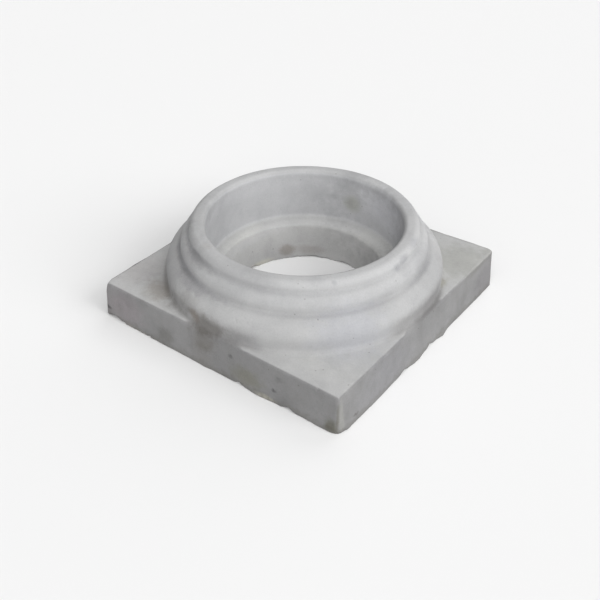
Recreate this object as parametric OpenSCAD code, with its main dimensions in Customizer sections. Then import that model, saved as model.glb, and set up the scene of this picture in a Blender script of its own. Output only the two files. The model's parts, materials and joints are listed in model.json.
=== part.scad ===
// Cast concrete column base: a square plinth, three rounded rolls stacked on it, and a round
// recess that the foot of the shaft stands in. It is one casting, made upside down in an open
// mould, so the plinth is widest at the underside and the hole through it is narrowest there.
// The origin is the centre of the underside, with +Z up. All sizes are in millimetres.

/* [Plinth] */
// Height of the square plinth
plinth_h = 66; // [40:1:120]
// How far the plinth stands out past the foot of the lowest roll, on each side
plinth_margin = 4.5; // [1:0.5:40]
// How much further out each side is at the underside than at the plinth's top edge
plinth_draft = 4; // [0:0.5:10]
// Flat cut across each upright corner, measured along the side
corner_cut = 3; // [1:0.5:10]

/* [Shaft recess] */
// Diameter of the round recess that takes the foot of the shaft
recess_d = 316; // [200:1:500]
// Rounding of the lip's inner edge
mouth_round = 8; // [1:0.5:12]
// Height above the underside of the sloped ledge where it meets the recess wall
ledge_z = 70.5; // [50:0.5:100]
// How far the sloped ledge falls towards the middle
ledge_drop = 6; // [1:0.5:12]
// Width of the sloped ledge that the shaft stands on
ledge_w = 23; // [10:1:50]
// How much nearer to the middle the lower hole's wall is at the underside
hole_draft = 7.5; // [0:0.5:15]

/* [Lip roll] */
// Width from the recess wall to the outside of the top roll
lip_w = 26.5; // [16:0.5:60]
// Height of the top roll above the shoulder of the middle roll
lip_h = 16; // [8:0.5:40]
// Rounding of the top roll
lip_round = 11; // [3:0.5:20]

/* [Middle roll] */
// How far the middle roll stands out past the top roll
middle_step = 14.5; // [8:0.5:60]
// Height of the middle roll above the shoulder of the lowest roll
middle_h = 27.5; // [12:0.5:60]
// Rounding of the middle roll
middle_round = 20; // [6:0.5:30]

/* [Lowest roll] */
// How far the lowest roll stands out past the middle roll
lowest_step = 26.5; // [8:0.5:80]
// Height of the lowest roll above the plinth
lowest_h = 51; // [30:0.5:90]
// Rounding of the lowest roll
lowest_round = 33; // [10:0.5:45]

/* [Hollow rounding] */
// Rounding in the groove under the top roll and under the middle roll
groove_round = 5.5; // [2:0.5:6]
// Rounding where the lowest roll meets the plinth
foot_round = 7.5; // [2:0.5:8]

/* [Hidden] */

facets = 180;    // facets of a full turn
arc_steps = 10;  // straight steps along each rounded stretch of an outline
spare = 10;      // how far a cutting shape reaches past the face that it cuts
concrete = [0.72, 0.72, 0.71];

recess_r = recess_d / 2;
lip_r = recess_r + lip_w;
middle_r = lip_r + middle_step;
lowest_r = middle_r + lowest_step;
plinth_half = lowest_r + plinth_margin;

lowest_top = plinth_h + lowest_h;
middle_top = lowest_top + middle_h;
total_h = middle_top + lip_h;

// Points along an arc, from one angle to another
function arc(centre, r, from, to) = [
    for (i = [0 : arc_steps])
        let (a = from + (to - from) * i / arc_steps)
            centre + r * [cos(a), sin(a)]
];

// A roll is [radius, height of its shoulder, rounding]. This is the centre of its rounding.
function roll_centre(roll) = [roll[0] - roll[2], roll[1] - roll[2]];

// The groove above a roll has a hollow that touches the upright face above it, at face_r, and
// the roll itself. These give how far the hollow's centre lies outside and above the centre of
// the roll's rounding, where it is, and the angle at which it touches the roll.
function hollow_reach(face_r, roll) = max(0, face_r + groove_round - roll_centre(roll)[0]);
function hollow_lift(face_r, roll) =
    sqrt(pow(roll[2] + groove_round, 2) - pow(hollow_reach(face_r, roll), 2));
function hollow_centre(face_r, roll) =
    [face_r + groove_round, roll_centre(roll)[1] + hollow_lift(face_r, roll)];
function hollow_angle(face_r, roll) =
    atan2(hollow_lift(face_r, roll), hollow_reach(face_r, roll));

// A roll is never rounder than the height of its own face, or the width of the lip, allows
lowest_fit = min(lowest_round, lowest_h - foot_round);
lowest_roll = [lowest_r, lowest_top, lowest_fit];
middle_fit = min(middle_round, middle_top - hollow_centre(middle_r, lowest_roll)[1]);
middle_roll = [middle_r, middle_top, middle_fit];
lip_face = total_h - hollow_centre(lip_r, middle_roll)[1];
lip_fit = min(lip_round, lip_face, lip_w - mouth_round);
lip_roll = [lip_r, total_h, lip_fit];

// Outline of a roll's rounded shoulder, from the given angle round to its upright face
function shoulder(roll, from) = arc(roll_centre(roll), roll[2], from, 0);

// Outline of the hollow under the face at face_r, then of the roll below it
function groove_and_roll(face_r, roll) =
    let (turn = hollow_angle(face_r, roll))
        concat(
            arc(hollow_centre(face_r, roll), groove_round, 180, 180 + turn),
            shoulder(roll, turn)
        );

// Half section of the rolls, from the axis out, with the rounded foot down to the plinth's top
module rolls_outline() {
    foot_centre = [lowest_r + foot_round, plinth_h + foot_round];
    polygon(concat(
        [[0, 0], [0, total_h]],
        shoulder(lip_roll, 90),
        groove_and_roll(lip_r, middle_roll),
        groove_and_roll(middle_r, lowest_roll),
        arc(foot_centre, foot_round, 180, 270),
        [[foot_centre[0], 0]]
    ));
}

// Half section of everything that is open around the axis
module opening_outline() {
    ledge_r = recess_r - ledge_w;
    ledge_low = ledge_z - ledge_drop;
    under_r = ledge_r - hole_draft;
    past_under_r = under_r - hole_draft * spare / ledge_low;
    mouth_centre = [recess_r + mouth_round, total_h - mouth_round];
    polygon(concat(
        [[0, -spare], [past_under_r, -spare], [ledge_r, ledge_low], [recess_r, ledge_z]],
        arc(mouth_centre, mouth_round, 180, 90),
        [[mouth_centre[0], total_h + spare], [0, total_h + spare]]
    ));
}

// Block with two opposite sloped sides, half_w from the axis at the plinth's top edge and
// draft further out at the underside. Its other two sides stand clear of the plinth.
module drafted_pair(half_w, draft) {
    slope = draft / plinth_h;
    top = half_w - slope * (total_h + spare - plinth_h);
    bottom = half_w + slope * (plinth_h + spare);
    length = 4 * plinth_half;
    rotate([90, 0, 0])
        linear_extrude(height = length, center = true)
            polygon([
                [-bottom, -spare], [bottom, -spare],
                [top, total_h + spare], [-top, total_h + spare]
            ]);
}

// The four sloped sides of the plinth and the flats across its four upright corners
module plinth_sides() {
    corner_half = (2 * plinth_half - corner_cut) / sqrt(2);
    corner_draft = plinth_draft * sqrt(2);
    intersection() {
        drafted_pair(plinth_half, plinth_draft);
        rotate([0, 0, 90])
            drafted_pair(plinth_half, plinth_draft);
        rotate([0, 0, 45])
            drafted_pair(corner_half, corner_draft);
        rotate([0, 0, -45])
            drafted_pair(corner_half, corner_draft);
    }
}

module column_base() {
    slab_w = 4 * plinth_half;
    color(concrete)
        difference() {
            intersection() {
                plinth_sides();
                union() {
                    translate([-slab_w / 2, -slab_w / 2, 0])
                        cube([slab_w, slab_w, plinth_h]);
                    rotate_extrude($fn = facets)
                        rolls_outline();
                }
            }
            rotate_extrude($fn = facets)
                opening_outline();
        }
}

column_base();
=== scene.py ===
import bpy
import bmesh
import json
import math
import random
import numpy as np
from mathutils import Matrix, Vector, noise


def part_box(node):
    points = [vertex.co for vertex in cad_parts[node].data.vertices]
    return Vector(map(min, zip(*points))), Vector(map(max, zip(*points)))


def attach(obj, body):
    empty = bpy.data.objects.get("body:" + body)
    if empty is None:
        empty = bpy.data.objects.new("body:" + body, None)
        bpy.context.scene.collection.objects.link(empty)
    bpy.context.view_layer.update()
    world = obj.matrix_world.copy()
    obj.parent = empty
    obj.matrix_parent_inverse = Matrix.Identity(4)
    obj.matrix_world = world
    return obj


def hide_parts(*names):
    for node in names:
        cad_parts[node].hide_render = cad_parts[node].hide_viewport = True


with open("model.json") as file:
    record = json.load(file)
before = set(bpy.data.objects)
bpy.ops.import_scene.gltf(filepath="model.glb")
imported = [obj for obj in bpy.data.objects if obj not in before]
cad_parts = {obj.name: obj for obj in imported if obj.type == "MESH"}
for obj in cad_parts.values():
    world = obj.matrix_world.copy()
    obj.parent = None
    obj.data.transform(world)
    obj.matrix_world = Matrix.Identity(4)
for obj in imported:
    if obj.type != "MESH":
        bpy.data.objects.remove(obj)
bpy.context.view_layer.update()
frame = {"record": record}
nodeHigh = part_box("column_base")[1]

shaftRecess = next(m for m in frame["record"]["mounts"] if m["name"] == "shaft_recess")
recessRadius = shaftRecess["dims"]["r_mm"] / 1000

casting = {
    "plinthHeight": 0.066,
    "plinthDraft": 0.004,      # how far the sides spread towards the underside
    "cornerRound": 0.003,
    "cornerSteps": 4,
    "lipWidth": 0.0265,        # from the recess wall to the outside of the top roll
    "middleStep": 0.0145,      # how far each roll stands out past the one above
    "lowestStep": 0.0265,
    "lipHeight": 0.016,        # height of each roll above the one below
    "middleHeight": 0.0275,
    "lipRound": 0.011,
    "middleRound": 0.020,
    "lowestRound": 0.033,
    "grooveRound": 0.0055,
    "footRound": 0.0075,
    "mouthRound": 0.008,
    "ledgeHeight": 0.0705,
    "ledgeDrop": 0.006,
    "ledgeWidth": 0.023,
    "ledgeFillet": 0.006,      # soft corner between recess wall and ledge
    "ledgeWorn": 0.0045,       # rounding of the ledge's inner edge
    "holeDraft": 0.0075,
    "plinthHollow": 0.65,      # where the plinth blank ends inside, as a share of the ledge
    "turnSteps": 320,
    "arcSteps": 10,
    "voxel": 0.00165,          # fineness of the fused skin
    "triangles": 190000,
}

topZ = nodeHigh.z
underHalf = nodeHigh.x
plinthTop = casting["plinthHeight"]
plinthHalf = underHalf - casting["plinthDraft"]
lipRadius = recessRadius + casting["lipWidth"]
middleRadius = lipRadius + casting["middleStep"]
lowestRadius = middleRadius + casting["lowestStep"]
middleTop = topZ - casting["lipHeight"]
lowestTop = middleTop - casting["middleHeight"]
footRadius = lowestRadius + casting["footRound"]
ledgeRadius = recessRadius - casting["ledgeWidth"]
ledgeLow = casting["ledgeHeight"] - casting["ledgeDrop"]
underRadius = ledgeRadius - casting["holeDraft"]


def arcPoints(centre, radius, start, end):
    steps = casting["arcSteps"]
    turns = [math.radians(start + (end - start) * i / steps) for i in range(steps + 1)]
    return [(centre[0] + radius * math.cos(a), centre[1] + radius * math.sin(a)) for a in turns]


def grooveAndRoll(faceRadius, rollRadius, rollTop, rollRound):
    # hollow under the upright face at faceRadius, then the rounded shoulder of the roll below
    hollow = casting["grooveRound"]
    rollCentre = (rollRadius - rollRound, rollTop - rollRound)
    reach = max(0.0, faceRadius + hollow - rollCentre[0])
    lift = math.sqrt((rollRound + hollow) ** 2 - reach ** 2)
    turn = math.degrees(math.atan2(lift, reach))
    hollowCentre = (faceRadius + hollow, rollCentre[1] + lift)
    return (arcPoints(hollowCentre, hollow, 180, 180 + turn)
            + arcPoints(rollCentre, rollRound, turn, 0))


def roundedCorner(before, corner, after, radius):
    # arc that touches both lines of a corner
    corner = Vector(corner)
    back, ahead = (Vector(before) - corner).normalized(), (Vector(after) - corner).normalized()
    half = back.angle(ahead) / 2
    centre = corner + (back + ahead).normalized() * radius / math.sin(half)
    first = corner + back * radius / math.tan(half) - centre
    last = corner + ahead * radius / math.tan(half) - centre
    start = math.atan2(first.y, first.x)
    sweep = math.remainder(math.atan2(last.y, last.x) - start, math.tau)
    return arcPoints(centre, radius, math.degrees(start), math.degrees(start + sweep))


def ringOutline():
    # closed half section of everything that is round, in (radius, height)
    c = casting
    mouth = (recessRadius + c["mouthRound"], topZ - c["mouthRound"])
    lip = (lipRadius - c["lipRound"], topZ - c["lipRound"])
    foot = (footRadius, plinthTop + c["footRound"])
    inside = lowestRadius - c["footRound"]
    outline = [(underRadius, 0.0)]
    outline += roundedCorner((underRadius, 0.0), (ledgeRadius, ledgeLow),
                             (recessRadius, c["ledgeHeight"]), c["ledgeWorn"])
    outline += roundedCorner((ledgeRadius, ledgeLow), (recessRadius, c["ledgeHeight"]),
                             (recessRadius, topZ), c["ledgeFillet"])
    outline += arcPoints(mouth, c["mouthRound"], 180, 90)
    outline += arcPoints(lip, c["lipRound"], 90, 0)
    outline += grooveAndRoll(lipRadius, middleRadius, middleTop, c["middleRound"])
    outline += grooveAndRoll(middleRadius, lowestRadius, lowestTop, c["lowestRound"])
    outline += arcPoints(foot, c["footRound"], 180, 270)
    outline += [(inside, plinthTop), (inside, 0.0)]
    return outline


def sideHalf(z):
    # half width of the plinth at a height; the slope runs on above its top edge
    return plinthHalf + casting["plinthDraft"] * (plinthTop - z) / plinthTop


def spinRolls(bm):
    verts = [bm.verts.new((r, 0.0, z)) for r, z in ringOutline()]
    edges = [bm.edges.new((verts[i - 1], verts[i])) for i in range(len(verts))]
    bmesh.ops.spin(bm, geom=verts + edges, cent=(0, 0, 0), axis=(0, 0, 1),
                   angle=math.tau, steps=casting["turnSteps"], use_merge=True)
    # the rounded foot is cut flush where it would stand out past the plinth's sides
    slope = casting["plinthDraft"] / plinthTop
    for k in range(4):
        out = Vector((math.cos(k * math.pi / 2), math.sin(k * math.pi / 2), 0))
        geom = bm.verts[:] + bm.edges[:] + bm.faces[:]
        cut = bmesh.ops.bisect_plane(bm, geom=geom, dist=1e-6, clear_outer=True,
                                     plane_co=out * plinthHalf + Vector((0, 0, plinthTop)),
                                     plane_no=(out + Vector((0, 0, slope))).normalized())
        rim = [e for e in cut["geom_cut"] if isinstance(e, bmesh.types.BMEdge)]
        bmesh.ops.edgeloop_fill(bm, edges=rim)


def squareFrame(bm):
    # the plinth, hollow in the middle where the rolls' own ring carries on down
    made = bmesh.ops.create_cube(bm, size=1.0)["verts"]
    bmesh.ops.scale(bm, verts=made, vec=(2 * plinthHalf, 2 * plinthHalf, plinthTop))
    bmesh.ops.translate(bm, verts=made, vec=(0, 0, plinthTop / 2))
    low = [v for v in made if v.co.z < plinthTop / 2]
    bmesh.ops.scale(bm, verts=low, vec=(underHalf / plinthHalf, underHalf / plinthHalf, 1))
    upright = [e for e in {e for v in made for e in v.link_edges}
               if abs(e.verts[0].co.z - e.verts[1].co.z) > plinthTop / 2]
    bmesh.ops.bevel(bm, geom=upright, affect="EDGES", offset=casting["cornerRound"],
                    segments=casting["cornerSteps"], profile=0.5, material=-1)
    # top and bottom, told from the sides by their many corners
    flat = [f for f in bm.faces if len(f.verts) > 8 and abs(f.normal.z) > 0.9]
    hollowHalf = ledgeRadius + casting["plinthHollow"] * casting["ledgeWidth"]
    bmesh.ops.inset_individual(bm, faces=flat, thickness=plinthHalf - hollowHalf)
    rims = [e for f in flat for e in f.edges]
    bmesh.ops.delete(bm, geom=flat, context="FACES_ONLY")
    bmesh.ops.bridge_loops(bm, edges=rims)


def makeObject(name, bm):
    bmesh.ops.recalc_face_normals(bm, faces=bm.faces[:])
    mesh = bpy.data.meshes.new(name)
    bm.to_mesh(mesh)
    bm.free()
    made = bpy.data.objects.new(name, mesh)
    bpy.context.scene.collection.objects.link(made)
    return made


def applyModifiers(piece):
    # swaps the mesh for its modified one and clears the modifiers
    depsgraph = bpy.context.evaluated_depsgraph_get()
    finished = bpy.data.meshes.new_from_object(piece.evaluated_get(depsgraph))
    piece.modifiers.clear()
    piece.data = finished


def fuseSkin(piece):
    remesh = piece.modifiers.new("oneSkin", "REMESH")
    remesh.mode = "VOXEL"
    remesh.voxel_size = casting["voxel"]
    applyModifiers(piece)


bm = bmesh.new()
squareFrame(bm)
plinthBlank = makeObject("plinthBlank", bm)
bm = bmesh.new()
spinRolls(bm)
base = makeObject("column_base_casting", bm)
bm = bmesh.new()
bm.from_mesh(base.data)
bm.from_mesh(plinthBlank.data)
bm.to_mesh(base.data)
bm.free()
bpy.data.objects.remove(plinthBlank)
fuseSkin(base)
print("casting fused", len(base.data.vertices), "points")


wear = {
    "skinWave": 0.00045,       # slow unevenness of the cast faces
    "skinGrain": 0.00010,
    "sideGrain": 0.00028,      # extra on the plinth's sides
    "sideDepth": 0.003,
    "holeGrain": 0.0004,       # extra in the hole
    "trowel": 0.0009,          # hollows of the underside
    "trowelLow": 0.6,          # the higher, the more of it is hollow
    "underHeight": 0.002,
    "underFaces": -0.9,        # upward part of the normal of a face that looks down
    "topEdge": 0.0014,         # usual wear of the plinth's top edge
    "leastTopEdge": 0.0005,
    "topSwing": 0.8,           # how far that wear comes and goes along the edge
    "topCrumb": 0.004,         # depth of the crumbs broken out of it
    "leastCrumb": 0.5,
    "underEdge": 0.0010,       # usual wear of its lower edge
    "leastUnderEdge": 0.0004,
    "underCrumbs": 0.8,
    "chip": 1.6,               # cut of a worn stretch, as a multiple of its listed depth
    "holeEdge": 0.0026,
    "holeEdgeSwing": 2.2,
    "leastHoleEdge": 0.0006,
    "holeEdgeReach": 0.012,
    "flash": 0.0011,           # thin skirt that squeezed out at the lower edge
    "flashHeight": 0.007,
    "flashDepth": 0.004,
    "flashCurve": 1.5,
    "flashCrumbs": 0.5,
    "flashSpread": 0.1,        # more than 0 lets it run along more of the edge
    "flushHalf": 0.050,        # half the stretch of top edge that the lowest roll covers
    "flushFade": 0.03,
    "biteBumps": 0.6,          # width of a bump on a knock's edge, in its radii
    "pores": 60,
    "poreSize": (0.0010, 0.0020),
    "poreDepth": 0.4,          # how far out of the skin a pore's ball stands, in radii
    "poreRagged": 0.2,
}

slack = 0.001                  # past an edge, so that the points on it count
seedSteps = (7.3, 3.1, 5.7)    # how far apart two seeds are in the noise

# width of one bump of each kind of unevenness, in metres
bumpWidths = {
    "skinWave": 0.080,
    "skinGrain": 0.008,
    "sideGrain": 0.014,
    "holeGrain": 0.014,
    "trowel": 0.020,
    "edges": 0.045,
    "crumbs": 0.008,
    "corners": 0.020,
    "holeEdge": 0.022,
}

seeds = {
    "skinWave": 1, "skinGrain": 2, "sideGrain": 3, "holeGrain": 4, "trowel": 5, "edges": 21,
    "crumbs": 22, "corners": 24, "holeEdge": 41, "bites": 60, "pores": 200, "porePlaces": 11,
}

# the casting is not quite true
uneven = {
    "rightLean": 0.0018,       # the right side spreads a little more than the others
    "sideDepth": 0.010,
    "cornerLift": 0.0030,      # the far right corner of the plinth is a little thicker
    "liftFromX": 0.100, "liftRunX": 0.130,
    "liftFromY": 0.030, "liftRunY": 0.200,
    "liftPastFoot": 0.030,
    "holeShift": (-0.0040, -0.0030),   # the ledge's inner edge is a little off centre
    "shiftFromZ": 0.015, "shiftRunZ": 0.045,
    "shiftReach": 0.018, "shiftFade": 0.014,
}

# where the lowest roll bulges out almost to the sides its foot melts into them
footMelt = {
    "passes": 90,
    "factor": 0.5,
    "fromMiddle": 0.214,       # nearest part of the plinth that is smoothed
    "above": 0.002,            # middle of the smoothed band over the plinth's top
    "halfHeight": 0.012,
    "halfLength": 0.070,
    "fade": 0.03,
}

# how a worn corner spreads along its edges, as multiples of its roundings
cornerWear = {
    "ragged": 0.12,
    "foot": 1.3,               # the upright edge at the floor
    "taper": 1.8,
    "taperPower": 1.5,
    "floorEdge": 0.75,
    "floorRun": 2.4,
    "topRun": 1.6,
    "runPower": 0.6,
}

# worn corners: signs of x and y, rounding in plan, rounding on the floor, rounding at the top
corners = (
    (1, -1, 0.0055, 0.0130, 0.0055),
    (1, 1, 0.0080, 0.0070, 0.0080),
    (-1, -1, 0.0035, 0.0040, 0.0105),
    (-1, 1, 0.0060, 0.0090, 0.0060),
)

# lower edge, side by side anticlockwise from +X: place along the side, half length,
# how far it stands out (or, below zero, is worn back)
lowerEdge = {
    "right": ((-0.062, 0.011, -0.0030), (-0.026, 0.017, 0.0030), (0.017, 0.008, -0.0036),
              (0.053, 0.013, 0.0036), (-0.150, 0.050, 0.0008), (0.150, 0.060, 0.0006)),
    "back": ((-0.120, 0.020, -0.0030), (0.060, 0.030, 0.0018), (0.150, 0.012, -0.0024)),
    "left": ((-0.140, 0.018, 0.0018), (-0.030, 0.014, -0.0030), (0.120, 0.022, -0.0020)),
    "front": ((-0.215, 0.022, -0.0045), (-0.016, 0.010, 0.0014), (0.052, 0.007, -0.0034),
              (0.086, 0.024, 0.0026), (0.144, 0.010, -0.0030), (0.190, 0.020, 0.0006)),
}

# knocks and pits: where the middle is, the radius, how ragged
bites = [
    ((-0.2300, -0.2345, 0.0200), 0.0036, 0.30),   # nick in the left upright edge
    ((-0.1930, -0.2365, 0.0030), 0.0050, 0.40),   # crumbled stretch of the front side
    ((-0.1670, -0.2365, 0.0020), 0.0045, 0.40),
    ((-0.1370, -0.2360, 0.0000), 0.0050, 0.40),
    ((0.0950, -0.2375, 0.0045), 0.0045, 0.45),
    ((0.1060, -0.2370, 0.0040), 0.0045, 0.45),
    ((0.1180, -0.2370, 0.0030), 0.0045, 0.45),
    ((0.2305, 0.0150, 0.0735), 0.0060, 0.35),     # pits where the lowest roll meets the right side
    ((0.2300, -0.0060, 0.0760), 0.0055, 0.35),
    ((0.2290, 0.0330, 0.0710), 0.0040, 0.35),
    ((0.2340, -0.1920, 0.0150), 0.0030, 0.30),
    ((0.1160, -0.2335, 0.0240), 0.0030, 0.30),
    ((0.0370, -0.2325, 0.0460), 0.0028, 0.30),
    ((0.1250, -0.2325, 0.0490), 0.0026, 0.30),
    ((0.1940, -0.2330, 0.0430), 0.0028, 0.30),
    ((0.2000, -0.2320, 0.0660), 0.0030, 0.35),    # nicks in the top edges
    ((0.1330, -0.2320, 0.0665), 0.0026, 0.35),
    ((0.2325, -0.1500, 0.0665), 0.0028, 0.35),
    ((0.2325, 0.1200, 0.0665), 0.0026, 0.35),
    ((-0.2330, 0.0900, 0.0660), 0.0032, 0.35),
    ((-0.1200, 0.2330, 0.0660), 0.0034, 0.35),
    ((0.1900, -0.0150, 0.1530), 0.0050, 0.30),    # scuffs under the lip
    ((0.1895, 0.0060, 0.1560), 0.0044, 0.30),
]


def field(points, size, seed, octaves=1):
    # seeded noise between about -1 and 1; size is the width of a bump in metres
    shift = Vector([seed * step for step in seedSteps])
    return np.array([noise.fractal(Vector(p) / size + shift, 1.0, 2.0, octaves) for p in points])


def unevenness(points, kind, octaves):
    return field(points, bumpWidths[kind], seeds[kind], octaves)


def ramp(values, start, length):
    # 0 up to start, 1 from start + length on
    return np.clip((values - start) / length, 0, 1)


def pushToChamfer(points, depthA, inwardA, depthB, inwardB, cut):
    # 45 degree plane off the edge of two faces; cut is its run along each face
    over = np.maximum(cut - (depthA + depthB), 0.0) / 2
    points += over[:, None] * (inwardA + inwardB)


def pushToArc(points, depthA, inwardA, depthB, inwardB, radius):
    # rounds the edge of two faces
    a, b = radius - depthA, radius - depthB
    far = np.hypot(a, b)
    over = np.where((a > 0) & (b > 0) & (far > radius), 1 - radius / np.maximum(far, 1e-9), 0)
    points += (over * a)[:, None] * inwardA + (over * b)[:, None] * inwardB


def wearSides(points):
    z = points[:, 2]
    rough = unevenness(points, "edges", 3)
    crumbs = unevenness(points, "crumbs", 3)
    up = np.array([0.0, 0.0, 1.0])
    for k, bumps in enumerate(lowerEdge.values()):
        out = np.array([math.cos(k * math.pi / 2), math.sin(k * math.pi / 2), 0.0])
        along = np.array([0.0, 1.0, 0.0]) if k % 2 == 0 else np.array([1.0, 0.0, 0.0])
        depth = sideHalf(z) - points @ out
        run = points @ along
        # top edge, left alone where the lowest roll runs flush into the side
        clear = ramp(np.abs(run), wear["flushHalf"], wear["flushFade"]) * (z < plinthTop + slack)
        cut = wear["topEdge"] * (1.0 + wear["topSwing"] * rough)
        cut += wear["topCrumb"] * np.maximum(crumbs - wear["leastCrumb"], 0)
        cut = np.maximum(cut, wear["leastTopEdge"]) * clear - (1 - clear)
        pushToChamfer(points, depth, -out, plinthTop - z, -up, cut)
        # lower edge
        stands = sum(size * np.exp(-((run - place) / half) ** 2) for place, half, size in bumps)
        depth = sideHalf(z) - points @ out
        cut = wear["underEdge"] * (1.0 + rough + wear["underCrumbs"] * crumbs)
        cut += wear["chip"] * np.maximum(-stands, 0)
        pushToChamfer(points, depth, -out, z, up, np.maximum(cut, wear["leastUnderEdge"]))
        skirt = np.clip(1 - z / wear["flashHeight"], 0, 1) ** wear["flashCurve"]
        skirt *= depth < wear["flashDepth"]
        lift = np.maximum(stands, 0) * (1 + wear["flashCrumbs"] * crumbs)
        lift += wear["flash"] * np.maximum(rough + wear["flashSpread"], 0)
        points += (skirt * lift)[:, None] * out


def wearCorners(points):
    c = cornerWear
    low = points[:, 2] < plinthTop + slack
    some = points[low]
    ragged = 1 + c["ragged"] * unevenness(some, "corners", 3)
    up = np.array([0.0, 0.0, 1.0])
    for sx, sy, plan, floor, top in corners:
        inX, inY = np.array([-sx, 0.0, 0.0]), np.array([0.0, -sy, 0.0])

        def depths():
            half = sideHalf(some[:, 2])
            return half - sx * some[:, 0], half - sy * some[:, 1], some[:, 2], plinthTop - some[:, 2]

        # each edge is rounded more and more towards the corner
        depthX, depthY, depthFloor, depthTop = depths()
        nearFloor = np.clip(1 - depthFloor / (c["taper"] * floor), 0, 1) ** c["taperPower"]
        nearTop = np.clip(1 - depthTop / (c["taper"] * top), 0, 1) ** c["taperPower"]
        upright = plan + (c["foot"] * floor - plan) * nearFloor
        upright += (top - plan) * nearTop
        pushToArc(some, depthX, inX, depthY, inY, upright * ragged)
        levels = ((2, up, c["floorEdge"] * floor, c["floorRun"]), (3, -up, top, c["topRun"]))
        for face in (0, 1):
            for level, inward, size, run in levels:
                depth = depths()
                nearCorner = np.clip(1 - depth[1 - face] / (run * size), 0, 1)
                size = size * nearCorner ** (c["runPower"] * run)
                pushToArc(some, depth[face], (inX, inY)[face], depth[level], inward, size * ragged)
    points[low] = some


def wearHoleEdge(points):
    # crumbly rim of the hole in the underside
    reach = wear["holeEdgeReach"]
    radius = np.hypot(points[:, 0], points[:, 1])
    near = np.where((points[:, 2] < reach) & (radius < underRadius + reach))[0]
    some = points[near]
    outward = some * np.array([1.0, 1.0, 0.0]) / radius[near][:, None]
    ragged = unevenness(some, "holeEdge", 4)
    wall = underRadius + casting["holeDraft"] * some[:, 2] / ledgeLow
    cut = wear["holeEdge"] * (1 + wear["holeEdgeSwing"] * ragged)
    pushToChamfer(some, radius[near] - wall, outward, some[:, 2], np.array([0.0, 0.0, 1.0]),
                  np.maximum(cut, wear["leastHoleEdge"]))
    points[near] = some


def bite(points, centre, size, ragged, seed):
    # pushes the skin out of a ragged ball, as a knock leaves it
    away = points - np.array(centre)
    reach = np.linalg.norm(away, axis=1)
    near = np.where(reach < size * (1 + ragged))[0]
    if len(near) == 0:
        return
    edge = size * (1 + ragged * field(points[near], size * wear["biteBumps"], seed, 2))
    scale = np.maximum(edge / np.maximum(reach[near], 1e-6), 1.0)
    points[near] = np.array(centre) + away[near] * scale[:, None]


def roughenSkin(points, normals):
    z = points[:, 2]
    radius = np.hypot(points[:, 0], points[:, 1])
    outermost = np.maximum(np.abs(points[:, 0]), np.abs(points[:, 1]))
    side = (outermost > sideHalf(z) - wear["sideDepth"]) & (z < plinthTop)
    lift = (wear["skinWave"] * unevenness(points, "skinWave", 3)
            + wear["skinGrain"] * unevenness(points, "skinGrain", 2))
    lift += side * wear["sideGrain"] * unevenness(points, "sideGrain", 3)
    inHole = radius < ledgeRadius + slack
    lift += inHole * wear["holeGrain"] * unevenness(points, "holeGrain", 3)
    points += lift[:, None] * normals
    # trowelled underside, only ever hollow so that the base still sits on its plane
    under = (normals[:, 2] < wear["underFaces"]) & (z < wear["underHeight"])
    hollows = wear["trowel"] * (wear["trowelLow"] + unevenness(points[under], "trowel", 4))
    points[under, 2] += np.maximum(hollows, 0)


def leanRightSide(points):
    onRight = points[:, 0] > plinthHalf - uneven["sideDepth"]
    points[:, 0] += onRight * uneven["rightLean"] * np.clip(1 - points[:, 2] / plinthTop, 0, 1)


def liftFarCorner(points):
    radius = np.hypot(points[:, 0], points[:, 1])
    towardsCorner = (ramp(points[:, 0], uneven["liftFromX"], uneven["liftRunX"])
                     * ramp(points[:, 1], uneven["liftFromY"], uneven["liftRunY"])
                     * ramp(radius, footRadius, uneven["liftPastFoot"]))
    points[:, 2] += uneven["cornerLift"] * towardsCorner * np.clip(points[:, 2] / plinthTop, 0, 1)


def shiftHole(points):
    radius = np.hypot(points[:, 0], points[:, 1])
    offCentre = (ramp(points[:, 2], uneven["shiftFromZ"], uneven["shiftRunZ"])
                 * np.clip((ledgeRadius + uneven["shiftReach"] - radius) / uneven["shiftFade"], 0, 1))
    points[:, :2] += offCentre[:, None] * np.array(uneven["holeShift"])


def pierceSkin(points, normals):
    # small air pores anywhere on the skin
    draw = random.Random(seeds["porePlaces"])
    for i in range(wear["pores"]):
        start = draw.randrange(len(points))
        size = draw.uniform(*wear["poreSize"])
        centre = points[start] + normals[start] * size * wear["poreDepth"]
        bite(points, centre, size, wear["poreRagged"], seeds["pores"] + i)


def meltFoot(piece):
    c = footMelt
    group = piece.vertex_groups.new(name="foot")
    for v in piece.data.vertices:
        x, y, z = v.co
        run, out = sorted((abs(x), abs(y)))
        offBand = abs(z - plinthTop - c["above"])
        if out > c["fromMiddle"] and offBand < c["halfHeight"] and run < c["halfLength"]:
            nearBand = min(1.0, 2 * (1 - offBand / c["halfHeight"]))
            nearMiddle = min(1.0, (c["halfLength"] - run) / c["fade"])
            group.add([v.index], nearBand * nearMiddle, "REPLACE")
    smooth = piece.modifiers.new("footMelt", "SMOOTH")
    smooth.vertex_group = "foot"
    smooth.factor = c["factor"]
    smooth.iterations = c["passes"]
    applyModifiers(piece)
    piece.vertex_groups.clear()


def thinOut(piece):
    triangles = sum(len(p.vertices) - 2 for p in piece.data.polygons)
    thin = piece.modifiers.new("thinOut", "DECIMATE")
    thin.ratio = casting["triangles"] / triangles
    applyModifiers(piece)


def readVectors(mesh, name):
    values = np.empty(len(mesh.vertices) * 3)
    mesh.vertices.foreach_get(name, values)
    return values.reshape(-1, 3)


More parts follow.
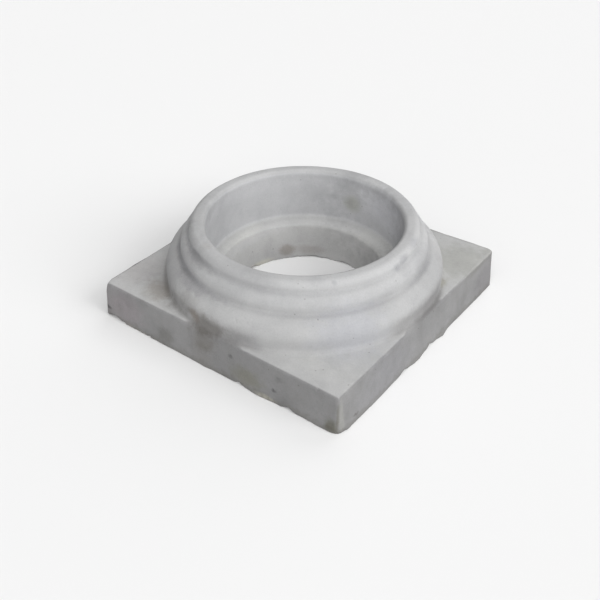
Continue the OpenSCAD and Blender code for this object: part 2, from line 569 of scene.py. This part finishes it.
def weatherCasting(piece):
    mesh = piece.data
    points = readVectors(mesh, "co")
    normals = readVectors(mesh, "normal")
    roughenSkin(points, normals)
    wearSides(points)
    leanRightSide(points)
    wearCorners(points)
    liftFarCorner(points)
    shiftHole(points)
    wearHoleEdge(points)
    for k, (centre, size, ragged) in enumerate(bites):
        bite(points, centre, size, ragged, seeds["bites"] + k)
    pierceSkin(points, normals)
    points[:, 2] = np.maximum(points[:, 2], 0.0)
    mesh.vertices.foreach_set("co", points.ravel())
    mesh.update()
    meltFoot(piece)
    thinOut(piece)
    piece.data.polygons.foreach_set("use_smooth", [True] * len(piece.data.polygons))


weatherCasting(base)
print("casting weathered", len(base.data.polygons), "faces")


concrete = {
    "pale": (0.430, 0.430, 0.430, 1),      # clean skin of the casting
    "dull": (0.372, 0.372, 0.373, 1),      # its darker clouds
    "gloss": 0.25,
    "roughness": (0.84, 0.95),
    "roughFrom": (0.3, 0.7),               # between these values of the grain's noise
    "blotchDark": (0.88, 0.88, 0.885, 1),
    "blotchPale": (1.06, 1.06, 1.055, 1),
    "grainDark": (0.80, 0.80, 0.80, 1),
    "grainPale": (1.12, 1.12, 1.11, 1),
    "runDark": (0.84, 0.835, 0.825, 1),    # faint runs down the plinth's sides
    "runPale": (1.09, 1.09, 1.10, 1),
    "pinHole": (0.62, 0.61, 0.60, 1),
    "bump": 0.35,
    "bumpDistance": 0.0006,
    "sideTone": (0.58, 0.577, 0.577, 1),   # sides of the plinth: partly their rough, unwashed tone, partly painted shade
    "splashTone": (0.68, 0.675, 0.672, 1),     # lowest roll where it runs flush into a side: partly unwashed tone, partly painted shade
    "upperTone": (1.035, 1.037, 1.043, 1),     # lip and middle roll, a little lighter
    "deckTone": (1.07, 1.07, 1.065, 1),    # flat top of the plinth
    "wallTone": (1.10, 1.105, 1.125, 1),   # smooth wall of the recess, made lighter: painted light inside the recess
    "lowWallTone": (0.90, 0.90, 0.90, 1),  # wall and ledge where water stood
    "ledgeTone": (0.99, 0.99, 0.985, 1),
    "holeTone": (0.93, 0.925, 0.915, 1),
    "dampTone": (0.84, 0.83, 0.81, 1),     # lowest centimetre of the sides
}

# the material's noises: bumps to a metre, octaves, how much of the finer octaves comes in
noises = {
    "fray": (70, 5, 0.65),
    "blotch": (26, 4, 0.6),
    "grain": (420, 3, 0.7),
    "fineGrain": (1400, 1, 0.5),
    "broad": (9, 4, 0.55),
    "runs": (34, 4, 0.55),
}

runStretch = (1, 1, 0.6)               # runs are longer than they are wide
reliefShares = {"fray": 0.9, "grain": 0.45, "fineGrain": 0.15}

# tones that follow a noise: where on the noise they start and are full, strength
noiseTones = {
    "dull": (0.35, 0.70, 1.0),
    "blotchDark": (0.48, 0.72, 0.7),
    "blotchPale": (0.46, 0.30, 0.8),
    "grainDark": (0.50, 0.80, 0.7),
    "grainPale": (0.46, 0.25, 0.7),
    "runDark": (0.48, 0.74, 0.6),
    "runPale": (0.46, 0.28, 0.5),
}

# pin holes and dark specks, in one cell out of twenty or so
pinHoles = {
    "cells": 130,                      # to a metre
    "rim": (0.20, 0.10),               # from the middle of a cell, in cells
    "chosen": (0.95, 0.96),            # cells whose own colour is above this have one
    "depth": 0.8,
}

# borders of the zones in metres, from where a tone starts to where it is full
borders = {
    "flushRun": (0.060, 0.036),        # along a side, towards the flush stretch
    "splashShadeOut": (0.208, 0.2225),      # from the middle towards a side
    "splashShadeHeight": (0.107, 0.088),
    "upperHeight": (0.112, 0.132),
    "waterLine": (0.143, 0.115),
    "waterOut": (0.142, 0.153),
    "dampHeight": (0.014, 0.004),
    # and these from the edge that each is named after
    "sideTop": (0.0035, -0.0010),
    "sideIn": (0.0040, 0.0010),
    "plinthTop": (-0.001, 0.003),
    "deckTop": (0.004, 0.001),
    "foot": (0.004, -0.002),
    "mouth": (0.0, 0.004),
    "hole": (0.0015, -0.0010),
    "recess": (0.0022, 0.0006),
    "ledgeTop": (-0.001, 0.004),
    "ledgeRim": (-0.0015, 0.0005),
}

flushSoftness = 4.0                    # how much wider the sides' borders are where the roll is flush
splashShadeFray = 0.012
dampFray = 0.03

# how the dirt and painted shade in the hollows spread; outer, inner and fray are multiples of its
# width
dirtAndShadeSpread = {
    "patches": (0.30, 0.65),           # between these values of the broad noise
    "patchStrength": (0.60, 1.0),
    "thickCore": 0.4,                  # share of a thick place that is full
    "outer": 1.25,
    "inner": 0.25,
    "fray": 0.5,
}

# dirt and painted shade in the hollows between the rolls and along their foot: middle in radius and
# height, width, colour, strength all round, strength added where they are heavier
hollowDirtAndShade = {
    "underLip": (lipRadius + 0.0018, middleTop - 0.0006, 0.0075, (0.66, 0.66, 0.67), 0.42, 0.34),
    "underMiddle": (middleRadius + 0.0028, lowestTop - 0.0003, 0.0085, (0.66, 0.66, 0.67), 0.52, 0.42),
    "foot": (footRadius - 0.0040, plinthTop + 0.0022, 0.0075, (0.60, 0.59, 0.58), 0.26, 0.42),
}

# where that dirt and painted shade are heavier: middle and reach
thickDirtAndShade = (
    ((-0.140, -0.170, 0.090), 0.110),
    ((0.224, 0.040, 0.075), 0.080),
)

# edge of a mark: how ragged, and the distances from its middle, in reaches, of none and all
markEdge = {"fray": 1.1, "outer": 1.65, "inner": 0.85}

# marks on the skin, stains and painted light and shade among them: middle, reach along x y z, colour
# it is multiplied by, strength
stainsAndPaintedLight = {
    "rustSpot": ((-0.040, -0.222, 0.080), (0.016, 0.012, 0.012), (0.90, 0.82, 0.76), 0.75),
    "smearOnRoll": ((-0.014, -0.227, 0.076), (0.046, 0.018, 0.023), (0.66, 0.64, 0.615), 0.95),
    "smearOnSide": ((-0.017, -0.233, 0.052), (0.034, 0.012, 0.028), (0.76, 0.74, 0.71), 0.90),
    "smearTail": ((-0.022, -0.233, 0.024), (0.030, 0.012, 0.026), (0.90, 0.88, 0.85), 0.60),
    "soilAtFoot": ((0.030, -0.228, 0.070), (0.040, 0.014, 0.014), (0.88, 0.88, 0.88), 0.80),
    "soilUnderRoll": ((-0.135, -0.184, 0.070), (0.058, 0.046, 0.012), (0.80, 0.78, 0.76), 0.75),
    "soilOnPlinth": ((-0.142, -0.192, 0.066), (0.034, 0.030, 0.006), (0.88, 0.85, 0.81), 0.75),
    "pinkPlinthEnd": ((-0.208, -0.172, 0.066), (0.044, 0.056, 0.012), (0.89, 0.865, 0.865), 0.75),
    "pinkSideEnd": ((-0.190, -0.234, 0.034), (0.060, 0.014, 0.040), (1.04, 0.97, 1.00), 0.80),
    "oliveOnSide": ((0.066, -0.234, 0.022), (0.040, 0.014, 0.022), (0.84, 0.83, 0.72), 0.80),
    "darkOnSide": ((-0.098, -0.234, 0.021), (0.022, 0.012, 0.016), (0.74, 0.73, 0.70), 0.60),
    "sideSpotA": ((0.036, -0.232, 0.045), (0.006, 0.006, 0.005), (0.66, 0.66, 0.66), 0.8),
    "sideSpotB": ((0.118, -0.233, 0.023), (0.006, 0.006, 0.004), (0.60, 0.60, 0.60), 0.8),
    "sideSpotC": ((0.126, -0.232, 0.048), (0.010, 0.006, 0.008), (0.80, 0.80, 0.80), 0.7),
    "greenCorner": ((0.220, -0.232, 0.012), (0.015, 0.012, 0.018), (0.62, 0.61, 0.52), 0.90),
    "greenArris": ((0.2295, -0.2330, 0.036), (0.0028, 0.006, 0.045), (0.72, 0.71, 0.65), 0.85),
    "duskRightEnd": ((0.234, 0.205, 0.028), (0.014, 0.045, 0.045), (0.86, 0.84, 0.86), 0.80),
    "brightRightSide": ((0.234, -0.110, 0.030), (0.014, 0.090, 0.060), (1.06, 1.06, 1.10), 0.60),
    "sideSpotD": ((0.233, -0.193, 0.014), (0.006, 0.009, 0.004), (0.60, 0.58, 0.56), 0.8),
    # darker where the lowest roll runs into the right side
    "darkRightFoot": ((0.226, 0.020, 0.076), (0.014, 0.050, 0.014), (0.90, 0.89, 0.89), 0.85),
    "mossRightFoot": ((0.2070, 0.0900, 0.0695), (0.009, 0.034, 0.008), (0.80, 0.79, 0.71), 0.90),
    "blueRoll": ((0.170, -0.120, 0.090), (0.075, 0.075, 0.050), (0.97, 0.98, 1.03), 0.80),
    "oliveOnPlinth": ((0.200, 0.168, 0.066), (0.070, 0.070, 0.012), (0.82, 0.82, 0.785), 0.85),
    "lipSmudge": ((-0.068, -0.158, 0.158), (0.014, 0.011, 0.006), (0.93, 0.91, 0.89), 0.60),
    "lipMark": ((-0.138, -0.116, 0.157), (0.014, 0.012, 0.006), (0.84, 0.84, 0.84), 0.70),
    "grooveSmudgeA": ((0.184, 0.003, 0.153), (0.010, 0.015, 0.009), (0.76, 0.76, 0.78), 0.85),
    "grooveSmudgeB": ((0.184, -0.017, 0.149), (0.010, 0.012, 0.008), (0.80, 0.80, 0.82), 0.80),
    "grooveSmudgeC": ((0.176, 0.046, 0.157), (0.010, 0.022, 0.007), (0.84, 0.84, 0.86), 0.80),
    "lipScratch": ((0.139, -0.116, 0.157), (0.006, 0.005, 0.006), (0.80, 0.80, 0.82), 0.80),
    "sootGroove": ((-0.056, -0.194, 0.1135), (0.072, 0.034, 0.0095), (0.74, 0.735, 0.75), 0.85),
    "sootUpperGroove": ((-0.072, -0.174, 0.1435), (0.060, 0.036, 0.0095), (0.76, 0.755, 0.76), 0.85),
    # dirt and painted shade on the lower face of the lowest roll at the left front
    "soilAndShadeLowLeft": ((-0.090, -0.207, 0.079), (0.050, 0.024, 0.020), (0.70, 0.69, 0.68), 0.85),
    "backEdgeGrime": ((0.130, 0.2315, 0.068), (0.120, 0.0095, 0.009), (0.79, 0.785, 0.77), 0.88),
    "grimeFarCorner": ((0.228, 0.224, 0.070), (0.024, 0.026, 0.012), (0.87, 0.87, 0.85), 0.85),
    "limeBackLedge": ((0.060, 0.128, 0.067), (0.080, 0.040, 0.010), (1.10, 1.10, 1.08), 0.80),
    "paleArris": ((0.2335, -0.2262, 0.032), (0.0055, 0.0065, 0.058), (1.14, 1.14, 1.09), 0.90),
    # painted light on the back of the recess
    "paintedLightRecess": ((0.045, 0.148, 0.085), (0.120, 0.060, 0.085), (1.30, 1.30, 1.30), 0.95),
    "paleDeck": ((0.168, -0.176, 0.0650), (0.062, 0.052, 0.0032), (1.075, 1.075, 1.065), 0.90),
    "nickShade": ((-0.2290, -0.2325, 0.0200), (0.011, 0.008, 0.0042), (0.45, 0.45, 0.45), 0.95),
    "dullLip": ((-0.140, -0.100, 0.154), (0.085, 0.085, 0.024), (0.84, 0.84, 0.84), 0.90),
    "dullMiddleRight": ((0.190, 0.060, 0.130), (0.030, 0.080, 0.020), (0.94, 0.94, 0.945), 0.90),
    "dullRightRolls": ((0.205, 0.040, 0.105), (0.060, 0.110, 0.060), (0.93, 0.93, 0.935), 0.90),
    "dullLeftRolls": ((-0.120, -0.170, 0.120), (0.080, 0.070, 0.060), (0.92, 0.915, 0.92), 0.90),
    "dullRollEnd": ((-0.058, -0.216, 0.094), (0.030, 0.016, 0.026), (0.80, 0.79, 0.78), 0.70),
    "wallMould": ((-0.012, 0.157, 0.108), (0.022, 0.010, 0.020), (0.80, 0.80, 0.73), 0.85),
    "wallStreak": ((-0.045, 0.152, 0.115), (0.028, 0.010, 0.006), (0.88, 0.88, 0.88), 0.70),
    # painted light on the back right of the recess wall
    "paintedLightWall": ((0.075, 0.135, 0.125), (0.095, 0.060, 0.045), (1.12, 1.12, 1.14), 0.90),
    "limeOnLedge": ((-0.140, 0.010, 0.066), (0.018, 0.070, 0.008), (1.05, 1.05, 1.02), 0.70),
    "boreSoil": ((-0.100, 0.082, 0.017), (0.020, 0.020, 0.013), (0.70, 0.66, 0.62), 0.85),
    "boreSoilLong": ((-0.070, 0.108, 0.016), (0.040, 0.030, 0.012), (0.80, 0.77, 0.75), 0.70),
    "boreCrumbs": ((-0.125, 0.040, 0.003), (0.020, 0.030, 0.008), (1.20, 1.18, 1.05), 0.80),
    "sideCrumbs": ((0.104, -0.233, 0.004), (0.022, 0.010, 0.006), (1.65, 1.62, 1.45), 0.75),
    "sideCrumbsLeft": ((-0.165, -0.233, 0.002), (0.050, 0.010, 0.005), (1.35, 1.33, 1.25), 0.60),
}


def addNode(tree, kind, sockets=None, **settings):
    node = tree.nodes.new(kind)
    for name, value in settings.items():
        setattr(node, name, value)
    for socket, value in (sockets or {}).items():
        if isinstance(value, bpy.types.NodeSocket):
            tree.links.new(value, node.inputs[socket])
        else:
            node.inputs[socket].default_value = value
    return node


def cloud(tree, place, kind):
    # soft noise around 0.5
    scale, detail, rough = noises[kind]
    return addNode(tree, "ShaderNodeTexNoise", {"Vector": place, "Scale": scale, "Detail": detail,
                                                "Roughness": rough}).outputs["Fac"]


def sums(tree, operation, first, second=0.0, third=0.0):
    node = addNode(tree, "ShaderNodeMath", {0: first, 1: second, 2: third}, operation=operation)
    return node.outputs[0]


def product(tree, first, *others):
    for other in others:
        first = sums(tree, "MULTIPLY", first, other)
    return first


def vectorSums(tree, operation, first, second=None):
    sockets = {0: first} if second is None else {0: first, 1: second}
    node = addNode(tree, "ShaderNodeVectorMath", sockets, operation=operation)
    return node.outputs["Value" if operation == "LENGTH" else 0]


def fade(tree, value, start, end, low=0.0, high=1.0):
    # smooth step: low at start, high at end
    if start > end:
        start, end, low, high = end, start, high, low
    node = addNode(tree, "ShaderNodeMapRange", {"Value": value, "From Min": start, "From Max": end,
                                                "To Min": low, "To Max": high},
                   interpolation_type="SMOOTHSTEP")
    return node.outputs["Result"]


def border(tree, value, name, edge=0.0):
    start, full = borders[name]
    return fade(tree, value, edge + start, edge + full)


def onNoise(tree, noiseValue, tone):
    start, full, strength = noiseTones[tone]
    return fade(tree, noiseValue, start, full, 0, strength)


def tint(tree, below, colour, amount, blend="MULTIPLY"):
    # sockets 6 and 7 of the mix node are its two colours
    node = addNode(tree, "ShaderNodeMix", {0: amount, 6: below, 7: colour},
                   data_type="RGBA", blend_type=blend)
    return node.outputs[2]


def zoneMasks(tree, axes, radius, fray):
    # which part of the casting a point is on
    height = axes[2]
    acrossX, acrossY = sums(tree, "ABSOLUTE", axes[0]), sums(tree, "ABSOLUTE", axes[1])
    reach = sums(tree, "MAXIMUM", acrossX, acrossY)
    run = sums(tree, "MINIMUM", acrossX, acrossY)

    # sides of the plinth, with wide borders where the lowest roll is flush; their darker tone, partly
    # painted shade, also reaches over the top edge
    soft = fade(tree, run, *borders["flushRun"], 1.0, flushSoftness)
    overTop = sums(tree, "DIVIDE", sums(tree, "SUBTRACT", height, plinthTop), soft)
    inFromSide = sums(tree, "DIVIDE", sums(tree, "SUBTRACT", plinthHalf, reach), soft)
    below = border(tree, overTop, "sideTop")
    onSide = product(tree, border(tree, inFromSide, "sideIn"), below)
    offSide = sums(tree, "SUBTRACT", 1.0, onSide)

    # rolls and the flat top
    # lowest roll darkened where it runs flush into a side: partly unwashed tone, partly painted shade
    frayedHeight = sums(tree, "MULTIPLY_ADD", fray, splashShadeFray, height)
    splashedAndShaded = product(tree, border(tree, reach, "splashShadeOut"),
                       border(tree, frayedHeight, "splashShadeHeight"),
                       border(tree, height, "plinthTop", plinthTop), offSide,
                       border(tree, radius, "foot", footRadius))
    onUpper = product(tree, border(tree, height, "upperHeight"),
                      border(tree, radius, "mouth", recessRadius))
    pastFoot = sums(tree, "SUBTRACT", fade(tree, radius, lowestRadius, footRadius), onSide)
    onDeck = product(tree, border(tree, height, "deckTop", plinthTop), pastFoot)

    # recess and hole
    inHole = border(tree, radius, "hole", ledgeRadius)
    inRecess = border(tree, radius, "recess", recessRadius)
    # the wall's lighter tone is painted light
    onWall = product(tree, inRecess, border(tree, height, "ledgeTop", casting["ledgeHeight"]))
    onLedge = product(tree, sums(tree, "SUBTRACT", inRecess, onWall),
                      border(tree, radius, "ledgeRim", ledgeRadius))
    waterStood = product(tree, inRecess, border(tree, height, "waterLine"),
                         border(tree, radius, "waterOut"))
    return onSide, (("wallTone", onWall), ("ledgeTone", onLedge), ("lowWallTone", waterStood),
                    ("holeTone", inHole), ("deckTone", onDeck), ("splashTone", splashedAndShaded),
                    ("upperTone", onUpper))


def weatherAndShadeSides(tree, colour, place, height, onSide, fray):
    # plinth sides: darker, partly painted shade, with faint runs down them and a damp lower edge
    stretched = addNode(tree, "ShaderNodeMapping", {"Vector": place, "Scale": runStretch}).outputs[0]
    runs = cloud(tree, stretched, "runs")
    colour = tint(tree, colour, concrete["sideTone"], onSide)
    for tone in ("runDark", "runPale"):
        colour = tint(tree, colour, concrete[tone], product(tree, onSide, onNoise(tree, runs, tone)))
    wander = product(tree, sums(tree, "SUBTRACT", fray, 0.5), dampFray)
    dampEdge = border(tree, sums(tree, "ADD", height, wander), "dampHeight")
    return tint(tree, colour, concrete["dampTone"], product(tree, onSide, dampEdge))


def darkenHollows(tree, colour, place, radius, height, fray, broad):
    # dirt and painted shade in the hollows between the rolls and at their foot
    c = dirtAndShadeSpread
    patchy = fade(tree, broad, *c["patches"], *c["patchStrength"])
    thick = 0.0
    for middle, reach in thickDirtAndShade:
        away = vectorSums(tree, "LENGTH", vectorSums(tree, "SUBTRACT", place, middle))
        thick = sums(tree, "ADD", thick, fade(tree, away, reach, reach * c["thickCore"]))
    for dirtRadius, dirtHeight, width, darkTone, everywhere, added in hollowDirtAndShade.values():
        across = sums(tree, "SUBTRACT", radius, dirtRadius)
        up = sums(tree, "SUBTRACT", height, dirtHeight)
        squares = sums(tree, "ADD", product(tree, across, across), product(tree, up, up))
        away = sums(tree, "MULTIPLY_ADD", fray, width * c["fray"], sums(tree, "SQRT", squares))
        amount = sums(tree, "MULTIPLY_ADD", thick, added, product(tree, patchy, everywhere))
        darkening = product(tree, fade(tree, away, width * c["outer"], width * c["inner"]), amount)
        colour = tint(tree, colour, darkTone + (1,), darkening)
    return colour


def paintStainsAndLight(tree, colour, place, fray):
    # stains, with painted light and shade among the marks
    for middle, size, markColour, strength in stainsAndPaintedLight.values():
        offset = vectorSums(tree, "SUBTRACT", place, middle)
        away = vectorSums(tree, "LENGTH", vectorSums(tree, "DIVIDE", offset, size))
        frayed = sums(tree, "MULTIPLY_ADD", fray, markEdge["fray"], away)
        colour = tint(tree, colour, markColour + (1,),
                      fade(tree, frayed, markEdge["outer"], markEdge["inner"], 0, strength))
    return colour


def concreteMaterial():
    material = bpy.data.materials.new("cast_concrete")
    material.use_nodes = True
    tree = material.node_tree
    shader = tree.nodes["Principled BSDF"]
    shader.inputs["Specular IOR Level"].default_value = concrete["gloss"]

    place = addNode(tree, "ShaderNodeTexCoord").outputs["Object"]
    axes = addNode(tree, "ShaderNodeSeparateXYZ", {0: place}).outputs
    flatPlace = addNode(tree, "ShaderNodeCombineXYZ", {0: axes[0], 1: axes[1]}).outputs[0]
    radius = vectorSums(tree, "LENGTH", flatPlace)
    height = axes[2]

    # the same cloudy noise frays the edge of every mark and of every line of dirt and painted shade
    fray, blotch, grain, fineGrain, broad = [
        cloud(tree, place, kind) for kind in ("fray", "blotch", "grain", "fineGrain", "broad")]

    colour = tint(tree, concrete["pale"], concrete["dull"], onNoise(tree, broad, "dull"), "MIX")
    for source, tone in ((blotch, "blotchDark"), (blotch, "blotchPale"),
                         (grain, "grainDark"), (grain, "grainPale")):
        colour = tint(tree, colour, concrete[tone], onNoise(tree, source, tone))

    onSide, zones = zoneMasks(tree, axes, radius, fray)
    for tone, zone in zones:
        colour = tint(tree, colour, concrete[tone], zone)
    colour = weatherAndShadeSides(tree, colour, place, height, onSide, fray)
    colour = darkenHollows(tree, colour, place, radius, height, fray, broad)
    colour = paintStainsAndLight(tree, colour, place, fray)

    cells = addNode(tree, "ShaderNodeTexVoronoi",
                    {"Vector": place, "Scale": pinHoles["cells"]}).outputs
    cellColour = addNode(tree, "ShaderNodeSeparateColor", {0: cells["Color"]}).outputs[0]
    holes = product(tree, fade(tree, cells["Distance"], *pinHoles["rim"]),
                    fade(tree, cellColour, *pinHoles["chosen"]), pinHoles["depth"])
    colour = tint(tree, colour, concrete["pinHole"], holes)

    tree.links.new(colour, shader.inputs["Base Color"])
    rough = fade(tree, grain, *concrete["roughFrom"], *concrete["roughness"])
    tree.links.new(rough, shader.inputs["Roughness"])

    # grain and pin holes stand out a little
    relief = product(tree, grain, reliefShares["grain"])
    relief = sums(tree, "MULTIPLY_ADD", fray, reliefShares["fray"], relief)
    relief = sums(tree, "MULTIPLY_ADD", fineGrain, reliefShares["fineGrain"], relief)
    relief = sums(tree, "SUBTRACT", relief, holes)
    bump = addNode(tree, "ShaderNodeBump", {"Strength": concrete["bump"], "Height": relief,
                                            "Distance": concrete["bumpDistance"]})
    tree.links.new(bump.outputs[0], shader.inputs["Normal"])
    return material


base.data.materials.clear()
base.data.materials.append(concreteMaterial())
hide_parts("column_base")
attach(base, "root")
print("concrete mixed")


studio = {
    "floorSize": 80.0,
    "floorColour": (0.82, 0.82, 0.82, 1),
    "floorRoughness": 0.9,
    "skyColour": (1.0, 1.0, 1.0, 1),
    "skyStrength": 0.23,
    "lampDistance": 3,
}

lamps = {
    # very soft lamps: direction as azimuth and elevation, spread in degrees, strength
    "keyLamp": (50, 50, 60, 1.65),
    "rightLamp": (95, 30, 35, 1.50),
    "backLamp": (180, 35, 60, 0.65),
    "frontLamp": (20, 40, 60, 0.70),
}

cameraView = {
    "azimuth": 36.92,
    "elevation": 36.39,
    "distance": 1.298,
    "lookAt": (0.0621, -0.0948, 0.080),
    "lens": 50.52,
}


def layFloor():
    bm = bmesh.new()
    bmesh.ops.create_grid(bm, x_segments=2, y_segments=2, size=studio["floorSize"] / 2)
    floor = makeObject("studioFloor", bm)
    paint = bpy.data.materials.new("floor_paint")
    paint.use_nodes = True
    shader = paint.node_tree.nodes["Principled BSDF"]
    shader.inputs["Base Color"].default_value = studio["floorColour"]
    shader.inputs["Roughness"].default_value = studio["floorRoughness"]
    floor.data.materials.append(paint)


def towards(azimuth, elevation):
    a, e = math.radians(azimuth), math.radians(elevation)
    return Vector((math.sin(a) * math.cos(e), -math.cos(a) * math.cos(e), math.sin(e)))


def hangLamps():
    for name, (azimuth, elevation, spread, strength) in lamps.items():
        light = bpy.data.lights.new(name, "SUN")
        light.angle = math.radians(spread)
        light.energy = strength
        lamp = bpy.data.objects.new(name, light)
        lamp.location = towards(azimuth, elevation) * studio["lampDistance"]
        lamp.rotation_euler = towards(azimuth, elevation).to_track_quat("Z", "Y").to_euler()
        bpy.context.scene.collection.objects.link(lamp)
    world = bpy.data.worlds.new("studioSky")
    world.use_nodes = True
    sky = world.node_tree.nodes["Background"]
    sky.inputs["Color"].default_value = studio["skyColour"]
    sky.inputs["Strength"].default_value = studio["skyStrength"]
    bpy.context.scene.world = world


def placeCamera():
    back = towards(cameraView["azimuth"], cameraView["elevation"])
    camera = bpy.data.objects.new("camera", bpy.data.cameras.new("camera"))
    camera.data.lens = cameraView["lens"]
    camera.location = Vector(cameraView["lookAt"]) + back * cameraView["distance"]
    camera.rotation_euler = (-back).to_track_quat("-Z", "Y").to_euler()
    bpy.context.scene.collection.objects.link(camera)
    bpy.context.scene.camera = camera


layFloor()
hangLamps()
placeCamera()
bpy.context.scene.view_settings.view_transform = "Standard"
print("studio set")
